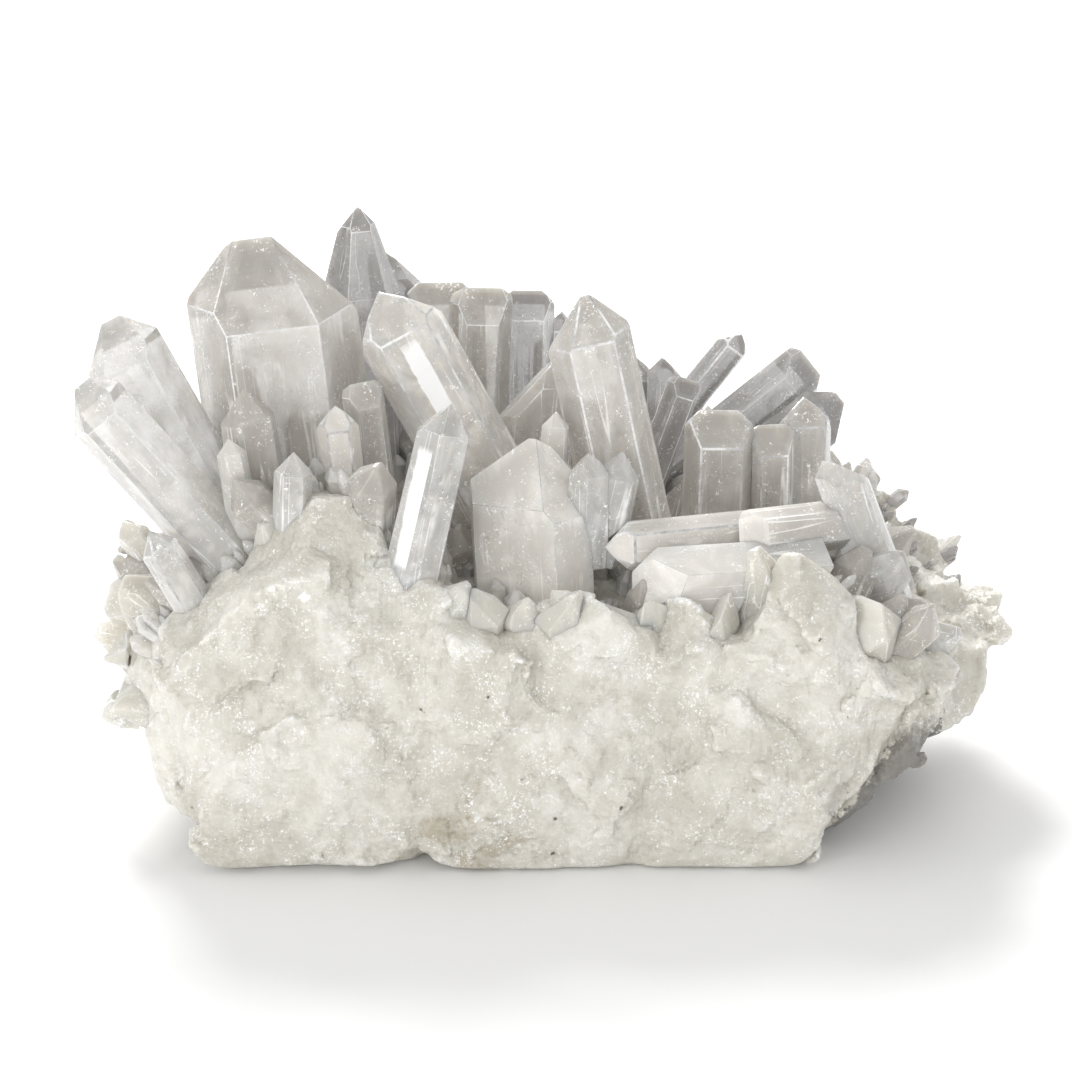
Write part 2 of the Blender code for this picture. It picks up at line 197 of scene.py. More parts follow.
class Finish:
    """A material under construction."""

    def __init__(self, name):
        self.material = bpy.data.materials.new(name)
        self.material.use_nodes = True
        self.tree = self.material.node_tree
        self.tree.nodes.clear()
        self.output = self.tree.nodes.new("ShaderNodeOutputMaterial")

    def add(self, kind, settings, sockets):
        """Any node: its settings first, then a value or a link for each socket, by name or by number."""
        node = self.tree.nodes.new(kind)
        for name, value in settings.items():
            setattr(node, name, value)
        for name, value in sockets.items():
            value = value.socket if isinstance(value, Number) else value
            if isinstance(value, bpy.types.NodeSocket):
                self.tree.links.new(value, node.inputs[name])
            else:
                node.inputs[name].default_value = value
        return node

    def place(self):
        """Where a point is in the object, in metres."""
        return self.add("ShaderNodeTexCoord", {}, {}).outputs["Object"]

    def axis(self, place, letter):
        """One coordinate of a place: X, Y or Z."""
        return Number(self, self.add("ShaderNodeSeparateXYZ", {}, {"Vector": place}).outputs[letter])

    def attribute(self, name, kind):
        """What the mesh stores under a name: Vector for a place, Fac for a number."""
        return self.add("ShaderNodeAttribute", {"attribute_name": name}, {}).outputs[kind]

    def geometry(self, name):
        return self.add("ShaderNodeNewGeometry", {}, {}).outputs[name]

    def stretched(self, place, scale):
        """A place with its axes scaled, so that a pattern can run long in one direction."""
        return self.add("ShaderNodeMapping", {}, {"Vector": place, "Scale": scale}).outputs["Vector"]

    def clouds(self, place, size, detail=3.0, roughness=0.55, warp=0.0):
        """Soft noise from 0 to 1 whose blotches are about the given size across."""
        sockets = {
            "Vector": place, "Scale": 1 / size, "Detail": detail, "Roughness": roughness, "Distortion": warp
        }
        return Number(self, self.add("ShaderNodeTexNoise", {}, sockets).outputs["Fac"])

    def cells(self, place, size):
        """A pattern of grains of about the given size across."""
        return self.add("ShaderNodeTexVoronoi", {}, {"Vector": place, "Scale": 1 / size})

    def mix_colours(self, factor, first, second):
        """Its colour sockets go by number, because the Mix node has several sockets with the same name."""
        node = self.add("ShaderNodeMix", {"data_type": "RGBA"}, {0: factor, 6: first, 7: second})
        return node.outputs[2]

    def vectors(self, operation, first, second):
        return self.add("ShaderNodeVectorMath", {"operation": operation}, {0: first, 1: second})

    def beyond(self, place, point, look):
        """How far a place lies beyond the plane through a point, on the side that the plane looks to."""
        gap = self.vectors("SUBTRACT", place, point).outputs[0]
        return Number(self, self.vectors("DOT_PRODUCT", gap, look).outputs["Value"])

    def distance(self, place, point):
        return Number(self, self.vectors("DISTANCE", place, point).outputs["Value"])

    def bump(self, height, depth, strength=1.0, normal=None):
        """A normal that shades a surface as if height (0 to 1) raised it by depth metres."""
        sockets = {"Height": height, "Distance": depth, "Strength": strength}
        if normal is not None:
            sockets["Normal"] = normal
        return self.add("ShaderNodeBump", {}, sockets).outputs["Normal"]

    def tilted_grains(self, grains, amount, normal):
        """A normal that leans a different way on each grain, so that some of them catch the light."""
        lean = self.vectors("SUBTRACT", grains.outputs["Color"], (0.5,) * 3).outputs[0]
        lean = self.add("ShaderNodeVectorMath", {"operation": "SCALE"}, {0: lean, "Scale": amount})
        total = self.vectors("ADD", lean.outputs[0], normal).outputs[0]
        return self.add("ShaderNodeVectorMath", {"operation": "NORMALIZE"}, {0: total}).outputs[0]

    def slanted(self):
        """0 on a surface seen straight on, 1 on one seen along its skin."""
        return Number(self, self.add("ShaderNodeLayerWeight", {}, {"Blend": 0.5}).outputs["Facing"])

    def shader(self, **sockets):
        named = {name.replace("_", " "): value for name, value in sockets.items()}
        return self.add("ShaderNodeBsdfPrincipled", {}, named).outputs[0]

    def blend(self, factor, first, second):
        return self.add("ShaderNodeMixShader", {}, {0: factor, 1: first, 2: second}).outputs[0]

    def finished(self, surface):
        self.tree.links.new(surface, self.output.inputs["Surface"])
        return self.material


# %% [markdown]
# The milky lump broke off at the right along a plane that looks down and to the right, and low down
# beyond that plane the slab behind it is coloured dark grey. The slab's own edge, at the far right, is pale
# again. The same plane later guides the crack in the rock. Noise makes the borders wander, because a ruled
# line would look painted on.

# %% Where the slab is dark
SLAB_POINT = (rock_high.x - 28 * MM, 0, 0)
SLAB_LOOK = (0.84, 0, -0.54)
SLAB_DEPTH = 5 * MM
SLAB_EDGE = rock_high.x - 14 * MM
SLAB_FOOT = 7 * MM
SLAB_HEIGHT = (18 * MM, 23 * MM)
SLAB_BORDER = 0.6 * MM


def slab_share(finish, place, wander):
    """1 on the dark slab and 0 on the milky rock."""
    half_border = SLAB_BORDER / 2
    depth = finish.beyond(place, SLAB_POINT, SLAB_LOOK) + SLAB_DEPTH + wander * 0.5
    low = 1 - (finish.axis(place, "Z") + wander).ramp(*SLAB_HEIGHT)
    edge = (finish.axis(place, "X") + wander - SLAB_EDGE).ramp(0, SLAB_BORDER)
    edge = edge * (finish.axis(place, "Z") + wander - SLAB_FOOT).ramp(0, SLAB_BORDER)
    return depth.ramp(-half_border, half_border) * low * (1 - edge)


print("slab border", round(SLAB_BORDER / MM, 1), "mm wide")

# %% [markdown]
# A few small pits hold brown iron oxide. They are the middles of some cells of a cell pattern: each cell
# has a number of its own, and only the lucky ones get a pit.

# %% Pits with iron in them
PIT_SPACING = 5 * MM
PIT_RAGS = 0.8 * MM
PIT_RADIUS = (0.24, 0.29)  # of its middle and of its rim, as shares of the spacing
PIT_LUCK = (0.80, 0.82)


def pit_share(finish, place):
    """1 in a pit."""
    pits = finish.cells(place, PIT_SPACING)
    luck = finish.add("ShaderNodeSeparateColor", {}, {"Color": pits.outputs["Color"]}).outputs[0]
    ragged = finish.clouds(place, PIT_RAGS, detail=4, roughness=0.7) * 0.40
    inside = 1 - (Number(finish, pits.outputs["Distance"]) + ragged).ramp(*PIT_RADIUS)
    return inside * Number(finish, luck).ramp(*PIT_LUCK)


print("a pit in one cell of", round(1 / (1 - PIT_LUCK[0])))

# %% [markdown]
# The rock is milky quartz that broke like sugar: cream white, with frostier patches, grains that glint one
# by one, and brown stains. The white specks on the grains are painted glints, and dark flecks beside them
# are painted shade. One colour with noise on it would look like plaster, so each of these is a mask of its
# own, from the broad to the fine. Pointiness, which is how far a point sticks out of the mesh, whitens the
# ridges, partly as wear and partly as a painted highlight, and darkens the creases with painted shade. A
# little subsurface light lets the shaded side glow, as real quartz does.

# %% Finish: milky, sugary quartz
CREAM = (0.58, 0.555, 0.485, 1)
FROST = (0.82, 0.805, 0.755, 1)
# The next two: the white of the painted glints and of the ridges, partly worn and partly a painted highlight,
# and the tint of the painted shade in the creases and beside the glints.
GLINT_AND_WEAR_WHITE = (1.0, 1.0, 0.98, 1)
PAINTED_SHADE_TINT = (0.50, 0.47, 0.40, 1)
IRON = (0.13, 0.085, 0.05, 1)
STAIN = (0.43, 0.385, 0.295, 1)
# The dark grey of the slab low on the right.
DARK_SLAB = (0.17, 0.16, 0.15, 1)
SCATTER_RADIUS = (3.0 * MM, 2.7 * MM, 2.3 * MM)
ROCK_IOR = 1.54
PATCH = 13 * MM
MOTTLE = 2.6 * MM
SUGARY_PATCH = 5 * MM
FLAKE = 0.42 * MM
GRAIN = 0.45 * MM
GRAIN_LEAN = 0.34
STAIN_PATCH = 6 * MM
STAINED_HOLLOW = (rock_low.x + 55 * MM, rock_low.y + 6 * MM, 5 * MM)
HOLLOW_REACH = (5 * MM, 13 * MM)
BORDER_WANDER = 4 * MM
RIM_BAND = (30 * MM, 38 * MM)
FINE_RELIEF = 0.5 * MM
LUMP_RELIEF = 2.4 * MM
RELIEF_DEPTH = 0.5 * MM


def milky_quartz(name):
    finish = Finish(name)
    place = finish.place()
    # What varies over the rock, from broad patches to single flakes.
    patches = finish.clouds(place, PATCH, detail=6, roughness=0.60, warp=0.4).ramp(0.38, 0.66)
    mottle = finish.clouds(place, MOTTLE, detail=5, roughness=0.7).ramp(0.35, 0.75)
    sugary = finish.clouds(place, SUGARY_PATCH, detail=5, roughness=0.75).ramp(0.40, 0.62)
    flakes = finish.clouds(place, FLAKE, detail=4, roughness=0.75, warp=0.6)
    # Painted shade: dark flecks beside the glints, in the sugary patches.
    shade = (1 - flakes.ramp(0.30, 0.40)) * sugary
    wander = (mottle - 0.5) * BORDER_WANDER
    slab = slab_share(finish, place, wander)
    # Painted glints: white specks that stand in for grains catching the light.
    painted_glints = (flakes + sugary * 0.10).ramp(0.635, 0.685) * (1 - slab)
    pit = pit_share(finish, place)
    # The ridges whiten most on the rim, which sticks out most, partly as wear and partly as a painted
    # highlight. The creases get painted shade.
    worn = Number(finish, finish.geometry("Pointiness"))
    high = finish.axis(place, "Z").ramp(*RIM_BAND)
    worn_and_lit_ridges = worn.ramp(0.52, 0.60) * (high * 0.6 + 0.3)
    crease_shade = 1 - worn.ramp(0.40, 0.49)
    # The brown stain gathers round one hollow at the foot of the front.
    hollow = 1 - (finish.distance(place, STAINED_HOLLOW) + wander * 1.5).ramp(*HOLLOW_REACH)
    stain = finish.clouds(place, STAIN_PATCH, detail=6, roughness=0.7, warp=0.5).ramp(0.44, 0.60)
    stain = stain * (hollow * 0.75 + 0.10)
    colour = finish.mix_colours(patches * 0.65 + mottle * 0.35, CREAM, FROST)
    # Painted shade in the creases and beside the glints.
    colour = finish.mix_colours(crease_shade * 0.30 + shade * 0.50, colour, PAINTED_SHADE_TINT)
    colour = finish.mix_colours(stain, colour, STAIN)
    colour = finish.mix_colours(slab * 0.85, colour, DARK_SLAB)
    # Painted glints, and the ridges in white, partly wear and partly painted highlight.
    colour = finish.mix_colours(painted_glints + worn_and_lit_ridges * (1 - slab), colour, GLINT_AND_WEAR_WHITE)
    colour = finish.mix_colours(pit * 0.9, colour, IRON)
    # Each grain leans its own way, and the relief between them is too fine for the mesh.
    fine = finish.clouds(place, FINE_RELIEF, detail=4, roughness=0.7)
    lumps = finish.clouds(place, LUMP_RELIEF, detail=4, roughness=0.65)
    normal = finish.tilted_grains(finish.cells(place, GRAIN), GRAIN_LEAN, finish.geometry("Normal"))
    normal = finish.bump(fine * 0.4 + lumps * 0.8 - pit * 0.8, RELIEF_DEPTH, 0.7, normal)
    surface = finish.shader(
        Base_Color=colour,
        Roughness=0.36 - painted_glints * 0.2 - high * 0.06 + pit * 0.3,
        Normal=normal,
        Subsurface_Weight=0.4,
        Subsurface_Radius=SCATTER_RADIUS,
        Subsurface_Scale=0.8,
        IOR=ROCK_IOR,
    )
    return finish.finished(surface)


rock_finish = milky_quartz("milky_quartz")
print("finish:", rock_finish.name, "with", len(rock_finish.node_tree.nodes), "nodes")

# %% [markdown]
# What makes a crystal read as quartz is small: fine growth lines across its sides, faces that are a little
# wavy and never optically flat, frosted and pitted patches, and healed cracks that shine as white streaks.
# Each crystal carries its own coordinates in an attribute, so that the lines run across it however it
# leans.

# %% The marks on and in a crystal
ACROSS_SIDES = (0.05, 0.05, 1.0)  # a pattern stretched so that it runs across the long axis
ALONG_SIDES = (1.0, 1.0, 0.04)  # and one that runs along it
LONGISH = (1.0, 1.0, 0.6)
LINE_SPACING = 0.55 * MM
LINE_DEPTH = 0.10 * MM


def frosting(finish, place):
    """Fine white frosting, in patches where the face was etched."""
    patches = finish.clouds(place, 7 * MM, detail=3).ramp(0.47, 0.58)
    return finish.clouds(place, 0.45 * MM, detail=3, roughness=0.7).ramp(0.56, 0.68) * patches


def growth_relief(finish, along, side, etch):
    """A normal with growth lines on the sides and a slow wave on every face."""
    lines = finish.clouds(finish.stretched(along, ACROSS_SIDES), LINE_SPACING, detail=4, roughness=0.7) * side
    waves = finish.clouds(finish.stretched(along, LONGISH), 5 * MM, detail=2)
    return finish.bump(lines * 0.25 + waves + etch * 0.2, LINE_DEPTH, 0.6)


def healed_streaks(finish, along, side, place):
    """Thin streaks along the sides: the narrow band where a stretched cloud is at its middle value."""
    streak = finish.clouds(finish.stretched(along, ALONG_SIDES), 3.4 * MM, detail=2, roughness=0.5, warp=0.15)
    patches = finish.clouds(place, 9 * MM).ramp(0.44, 0.64)
    return (1 - streak.distance_to(0.5).ramp(0.002, 0.016)) * patches * side


def white_flecks(finish, place):
    flakes = finish.clouds(place, 0.5 * MM, detail=4, roughness=0.75, warp=0.8)
    patches = finish.clouds(place, 4 * MM, detail=5, roughness=0.7).ramp(0.46, 0.66)
    return (flakes + patches * 0.10).ramp(0.66, 0.71)


def dark_pitting(finish, along, side, place):
    """Rows of fine dark pits on the sides, in patches."""
    pitted = finish.clouds(finish.stretched(along, LONGISH), 0.5 * MM, detail=3, roughness=0.7)
    return pitted.ramp(0.56, 0.64) * finish.clouds(place, 8 * MM, detail=3).ramp(0.52, 0.60) * side


def painted_glare_band(finish, along, height, veil, glare):
    """1 on a band along the crystal: a painted highlight, white where the crystal mirrors the light."""
    middle, reach, low, high = glare
    soft = (veil - 0.5) * 1.2 * MM
    away = (finish.axis(along, "X") + soft).distance_to(middle * MM)
    band = 1 - away.ramp(reach * 0.8 * MM, reach * MM)
    return band * height.ramp(low, low + 0.05) * (1 - height.ramp(high - 0.05, high))


print("growth lines every", round(LINE_SPACING / MM, 2), "mm, up to", round(LINE_DEPTH / MM, 2), "mm deep")

# %% [markdown]
# Real milk in quartz is a cloud of tiny bubbles inside the glass. Filling fifty crystals with a volume
# would be slow, so a surface mix stands in for it: clear glass, and a cloudy shader with subsurface light,
# blended by how much milk lies under that point.

# %% Finish: rock crystal
QUARTZ_IOR = 1.544
MILK_WHITE = (0.97, 0.97, 0.96, 1)
PIT_SHADE = 0.55
CLOUDY_ROUGHNESS = 0.20


def rock_crystal(name, tint, milk_colour, milk, root_milk, veils, roughness, glare=None, border=0.0):
    """Glass with milk in it: milk is its share at the tip, root_milk what the root adds and veils what
    veils add. border is how much whiter it is along the border of each face, as painted light. glare is an
    optional painted highlight, a white band: its middle and half size in mm across, and the heights it runs
    between.
    """
    finish = Finish(name)
    place = finish.place()
    along = finish.attribute("along", "Vector")
    height = Number(finish, finish.attribute("height", "Fac"))
    side = Number(finish, finish.attribute("side", "Fac"))
    etch = frosting(finish, place)
    normal = growth_relief(finish, along, side, etch)
    veil = finish.clouds(
        finish.stretched(along, (1.0, 1.0, 0.7)), 6 * MM, detail=5, roughness=0.6, warp=0.8
    )
    streak = healed_streaks(finish, along, side, place)
    flecks = white_flecks(finish, place)
    root = 1 - height.ramp(0.02, 0.60)
    # Painted sheen: faces seen at a slant are whitened, as a glancing reflection whitens them.
    rim = finish.slanted().ramp(0.45, 1.0)
    share = milk + root * root_milk + (veil.ramp(0.40, 0.70) - 0.5) * veils
    share = share + etch * 0.2 + streak * 0.35 + flecks
    # White from real marks (streaks, etching, flecks) and painted light (the slant sheen and the border).
    white = streak * 0.60 + etch * 0.45 + flecks * 0.9 + rim * 0.35 + border
    # Painted highlight: a white, milkier band where the crystal mirrors the light.
    if glare:
        band = painted_glare_band(finish, along, height, veil, glare)
        white = white + band
        share = share + band * 0.6
    glass = finish.shader(
        Base_Color=tint,
        Roughness=roughness + etch * 0.10,
        Normal=normal,
        Transmission_Weight=1.0,
        IOR=QUARTZ_IOR,
    )
    shaded = tuple(value * PIT_SHADE for value in milk_colour[:3]) + (1,)
    pitted = dark_pitting(finish, along, side, place)
    milky = finish.mix_colours(pitted * 0.6, milk_colour, shaded)
    cloudy = finish.shader(
        Base_Color=finish.mix_colours(white, milky, MILK_WHITE),
        Roughness=CLOUDY_ROUGHNESS,
        Normal=normal,
        Subsurface_Weight=0.6,
        Subsurface_Radius=SCATTER_RADIUS,
        Subsurface_Scale=1.0,
        IOR=QUARTZ_IOR,
    )
    return finish.finished(finish.blend(share, glass, cloudy))


# %% [markdown]
# No two crystals hold the same amount of milk. The kinds share one recipe and differ in a row of numbers,
# which keeps them one family. Two crystals have a glare: a painted highlight, a white band where the crystal
# mirrors the light.

# %% The kinds of crystal
PALE_MILK = (0.90, 0.865, 0.81, 1)
GREY_MILK = (0.65, 0.62, 0.575, 1)
DULL_MILK = (0.71, 0.68, 0.635, 1)
RIM_MILK = (0.77, 0.745, 0.675, 1)
# Darker, greyer milk and glass for the crystals at the back and the druse on the right.
GREYER_MILK = (0.46, 0.445, 0.435, 1)
WHITE_MILK = (0.80, 0.78, 0.75, 1)
CLEAR = (0.97, 0.965, 0.96, 1)
GREY_TINT = (0.88, 0.87, 0.88, 1)
# Painted highlights: where the glare band of two crystals lies.
WINDOW_GLARE = (0.9, 1.6, 0.55, 0.87)
BLADE_GLARE = (-1.3, 1.9, 0.10, 0.78)
# Name, tint of the glass, colour of the milk, milk, root_milk, veils, roughness and, for two, the glare, a
# painted highlight.
CRYSTAL_KINDS = {
    "clear": ("clear_quartz", CLEAR, GREY_MILK, 0.66, 0.25, 0.22, 0.03),
    "pale": ("pale_quartz", CLEAR, PALE_MILK, 0.68, 0.25, 0.20, 0.03),
    "dull": ("dull_quartz", CLEAR, DULL_MILK, 0.74, 0.20, 0.16, 0.03),
    "bright": ("bright_quartz", CLEAR, WHITE_MILK, 0.60, 0.20, 0.32, 0.05),
    "smoky": ("smoky_quartz", GREY_TINT, GREYER_MILK, 0.68, 0.25, 0.22, 0.04),
    "rim": ("rim_quartz", CLEAR, RIM_MILK, 0.80, 0.25, 0.16, 0.08),
    "window": ("window_quartz", CLEAR, PALE_MILK, 0.55, 0.30, 0.34, 0.03, WINDOW_GLARE),
    "blade": ("blade_quartz", CLEAR, WHITE_MILK, 0.50, 0.25, 0.34, 0.03, BLADE_GLARE),
}
# Painted light: how much whiter each face is along its border.
PAINTED_BORDER_LIGHT = 0.14
crystal_finishes = {kind: rock_crystal(*values) for kind, values in CRYSTAL_KINDS.items()}
border_finishes = {
    kind: rock_crystal(values[0] + "_border", *values[1:7], border=PAINTED_BORDER_LIGHT)
    for kind, values in CRYSTAL_KINDS.items()
}
print("finishes:", [material.name for material in crystal_finishes.values()])

# %% [markdown]
# A worn edge of quartz is a row of tiny chips that scatter light, so it shows as a thin white line. Here
# that white is partly those chips and partly a painted highlight, as where a bevel catches the light. The
# edges get a narrow bevel later, and this is its finish: glass broken up by white chips.

# %% Finish: frosted edges, partly painted highlight


def chipped_edge_highlight(name, clear):
    """Clear is the share of the edge that can stay glass where it is least worn."""
    finish = Finish(name)
    place = finish.place()
    chips = finish.clouds(place, 0.9 * MM, detail=4, roughness=0.7)
    worn = finish.clouds(place, 9 * MM, detail=2).ramp(0.40, 0.60)
    frosted = (chips.ramp(0.30, 0.60) * 0.35 + 0.6) * (0.45 + worn * 0.55)
    normal = finish.bump(chips, 0.2 * MM, 0.5)
    glass = finish.shader(
        Base_Color=(1, 1, 1, 1), Roughness=0.12, Normal=normal, Transmission_Weight=1.0, IOR=QUARTZ_IOR
    )
    # The white is partly chipped frost and partly a painted highlight along the edge.
    white = finish.shader(Base_Color=(0.95, 0.95, 0.95, 1), Roughness=0.2, Normal=normal, IOR=QUARTZ_IOR)
    return finish.finished(finish.blend(1 - (1 - frosted) * clear, glass, white))


edge_finish = chipped_edge_highlight("chipped_edge_highlight", 1.0)
rim_edge_finish = chipped_edge_highlight("rim_edge", 0.35)
print("finishes:", edge_finish.name, rim_edge_finish.name)

# %% [markdown]
# Quartz breaks into small flat facets and not into waves, so noise alone would make the rock look like
# clay. Here many break faces are scattered over the rock, each tilted its own way, and every point of the
# skin moves to the lowest of the four nearest to it. That leaves flats that meet in creases.

# %% Break faces
NEAR_FACES = 4
LEAST_SLOPE = 0.4
LEAST_FACING = 0.6  # cosine: a break face that looks further away from the skin is passed over
DEEPEST_CUT = 1 / 5  # both as shares of the spacing
HIGHEST_CUT = 1 / 6
GROUND_BAND = 0.6 * MM
RIM_HEIGHT = 34 * MM
RIM_BLEND = 4 * MM


def points_of(obj):
    points = np.empty(len(obj.data.vertices) * 3)
    obj.data.vertices.foreach_get("co", points)
    return points.reshape(-1, 3)


def normals_of(obj):
    normals = np.empty(len(obj.data.vertices) * 3)
    obj.data.vertices.foreach_get("normal", normals)
    return normals.reshape(-1, 3)


def move_points(obj, points):
    obj.data.vertices.foreach_set("co", points.ravel())
    obj.data.update()


def break_faces(obj, spacing, tilt, seed, high_share):
    """Cuts the skin back to the lowest of the break faces near each point, so that they meet in creases.

    high_share is how much of the cut is left on the rim, which is worn. The foot stays flat on the ground.
    """
    dice = np.random.default_rng(seed)
    points, normals = points_of(obj), normals_of(obj)
    area = sum(polygon.area for polygon in obj.data.polygons)
    chosen = dice.choice(len(points), int(area / spacing**2), replace=False)
    looks = normals[chosen] + dice.normal(0, tilt, (len(chosen), 3))
    looks /= np.linalg.norm(looks, axis=1)[:, None]
    tree = KDTree(len(chosen))
    for number, vertex in enumerate(chosen):
        tree.insert(points[vertex], number)
    tree.balance()
    nearest = np.array([[found[1] for found in tree.find_n(point, NEAR_FACES)] for point in points])
    heights = np.full(nearest.shape, spacing)
    for rank in range(NEAR_FACES):
        look = looks[nearest[:, rank]]
        slope = (normals * look).sum(axis=1)
        above = ((points - points[chosen][nearest[:, rank]]) * look).sum(axis=1)
        heights[:, rank] = np.where(slope > LEAST_FACING, -above / slope.clip(LEAST_SLOPE, None), spacing)
    move = heights.min(axis=1).clip(-spacing * DEEPEST_CUT, spacing * HIGHEST_CUT) + tilt * spacing / 2
    flat = np.clip((points[:, 2] - GROUND_BAND) / (3 * GROUND_BAND), 0, 1)
    crisp = 1 - (1 - high_share) * np.clip((points[:, 2] - RIM_HEIGHT) / RIM_BLEND, 0, 1)
    points += normals * (move * flat * crisp)[:, None]
    points[:, 2] = points[:, 2].clip(0, None)
    move_points(obj, points)
    most = round(float(np.abs(move).max()) / MM, 2)
    print(obj.name, "break faces:", len(chosen), "moved at most", most, "mm")


# %% [markdown]
# A crack opened at the right, between the milk and the dark slab, and the foot wore in, so that the rock
# stands on a patch smaller than itself. Both simply move the points of the fine skin.

# %% The crack and the foot
SLAB_TOP = 26 * MM
CRACK_WAVES = 6 * MM
CRACK_WANDER = 1.5 * MM
CRACK_DEPTH = 1.8 * MM
CRACK_WIDTH = 0.8 * MM
BASE_HEIGHT = 14 * MM
BASE_INSET = 3.5 * MM


def cut_crack(obj):
    points = points_of(obj)
    wander = np.array([noise.noise(Vector(point) / CRACK_WAVES) for point in points]) * CRACK_WANDER
    away = (points - np.array(SLAB_POINT)) @ np.array(SLAB_LOOK) + SLAB_DEPTH + wander
    at_front = (points[:, 1] < 0) * (points[:, 2] < SLAB_TOP)
    depth = CRACK_DEPTH * np.exp(-((away / CRACK_WIDTH) ** 2)) * at_front
    points -= normals_of(obj) * depth[:, None]
    points[:, 2] = points[:, 2].clip(0, None)
    move_points(obj, points)


def round_the_base(obj):
    points = points_of(obj)
    low = (1 - points[:, 2] / BASE_HEIGHT).clip(0, 1) ** 2
    away = np.linalg.norm(points[:, :2], axis=1)
    points[:, :2] *= (1 - BASE_INSET * low / away.clip(BASE_INSET, None))[:, None]
    move_points(obj, points)


print("crack", round(CRACK_DEPTH / MM, 1), "mm deep, foot", round(BASE_INSET / MM, 1), "mm in")

# %% [markdown]
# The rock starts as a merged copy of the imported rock. A voxel remesh gives it an even, fine skin. Swelling
# and then shrinking it closes the slots between the lumps that it was joined from. The break faces come in
# two sizes, coarse then fine. Only nearly flat neighbours are shaded smooth, so that the facets stay
# crisp.

# %% The rock
VOXEL = 0.68 * MM
CRACK_FILL = 1.2 * MM
COARSE_BREAK = 6.0 * MM
FINE_BREAK = 2.0 * MM
SOFT_ANGLE = math.radians(7)


def make_rock():
    rock = copy_of_node(ROCK, "broken_matrix")
    apply_modifier(rock, "REMESH", mode="VOXEL", voxel_size=VOXEL)
    for way in (1, -1):
        apply_modifier(rock, "DISPLACE", strength=way * CRACK_FILL, mid_level=0)
        apply_modifier(rock, "REMESH", mode="VOXEL", voxel_size=VOXEL)
    apply_modifier(rock, "SMOOTH", factor=0.5, iterations=1)
    break_faces(rock, COARSE_BREAK, tilt=0.12, seed=11, high_share=0.7)
    apply_modifier(rock, "REMESH", mode="VOXEL", voxel_size=VOXEL)
    break_faces(rock, FINE_BREAK, tilt=0.10, seed=12, high_share=0.9)
    cut_crack(rock)
    round_the_base(rock)
    select_only(rock)
    bpy.ops.object.shade_smooth_by_angle(angle=SOFT_ANGLE)
    rock.data.materials.append(rock_finish)
    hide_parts(ROCK)
    place_in_cluster(rock)
    return rock


rock = make_rock()
print(rock.name, len(rock.data.polygons), "faces")

# %% [markdown]
# A crystal's finish needs to know which way the crystal grew. Its side faces all run along that axis, so
# it is found by crossing the normals of the largest faces, and kept if the most skin runs along it. The
# place across and along, and the height, are then stored in the mesh as attributes.

# %% A crystal's own coordinates
LARGEST_FACES = 9
LEAST_CROSS = 0.3  # two faces nearly parallel to each other say nothing about the axis
ALONG_AXIS = 0.02  # cosine of the most that a face along the axis leans from it
SIDE_LEAN = 0.35  # sine of the most that a side face leans from the long axis


def long_axis(mesh):
    """The direction that most of a crystal's skin runs along, pointing away from the rock's middle."""
    faces = sorted(mesh.polygons, key=lambda face: -face.area)[:LARGEST_FACES]
    best, best_area = Vector((0, 0, 1)), 0
    for number, one in enumerate(faces):
        for other in faces[number + 1:]:
            axis = one.normal.cross(other.normal)
            if axis.length < LEAST_CROSS:
                continue
            axis.normalize()
            area = sum(face.area for face in mesh.polygons if abs(face.normal.dot(axis)) < ALONG_AXIS)
            if area > best_area:
                best, best_area = axis, area
    skin = sum(face.area for face in mesh.polygons)
    middle = sum((face.center * face.area for face in mesh.polygons), Vector()) / skin
    rock_middle = Vector((0, 0, rock_high.z / 3))
    return best if best.dot(middle - rock_middle) > 0 else -best


def write_own_coordinates(mesh, axis):
    """Stores where each point lies across and along the crystal, its height from root to tip, and which
    faces are sides."""
    across = Vector((1, 0, 0)) if abs(axis.x) < 0.8 else Vector((0, 0, 1))
    across = (across - axis * across.dot(axis)).normalized()
    turn = Matrix((across, axis.cross(across), axis))
    points = np.array([turn @ vertex.co for vertex in mesh.vertices])
    low, high = points.min(axis=0), points.max(axis=0)
    share = (points[:, 2] - low[2]) / (high[2] - low[2])
    points -= (low + high) / 2
    sides = [float(abs(face.normal.dot(axis)) < SIDE_LEAN) for face in mesh.polygons]
    mesh.attributes.new("side", "FLOAT", "FACE").data.foreach_set("value", sides)
    mesh.attributes.new("along", "FLOAT_VECTOR", "POINT").data.foreach_set("vector", points.ravel())
    mesh.attributes.new("height", "FLOAT", "POINT").data.foreach_set("value", share)
    return high[2] - low[2]


# %% [markdown]
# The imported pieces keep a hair's gap to each other, and real crystals have none. So a crystal's foot is
# sunk into the rock, and points that lie just off a crystal made before it are moved into that one.
# Otherwise the gaps show as black lines.

# %% Closing the gaps
ROOT_REACH = 0.5 * MM
ROOT_DEPTH = 1.4 * MM
GAP_REACH = 0.45 * MM
GAP_OVERLAP = 1.25


def skin_tree(nodes):
    """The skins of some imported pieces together, for measuring how far off them a point is."""
    points, triangles = [], []
    for node in nodes:
        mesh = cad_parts[node].data
        triangles += [[number + len(points) for number in face.vertices] for face in mesh.polygons]
        points += [vertex.co for vertex in mesh.vertices]
    return BVHTree.FromPolygons(points, triangles)


def lengthen_root(mesh, axis, rock_tree):
    """Sinks the points of a crystal's foot into the rock, and returns which ones they are."""
    roots = {
        vertex.index for vertex in mesh.vertices if rock_tree.find_nearest(vertex.co)[3] < ROOT_REACH
    }
    for number in roots:
        mesh.vertices[number].co -= axis * ROOT_DEPTH
    return roots


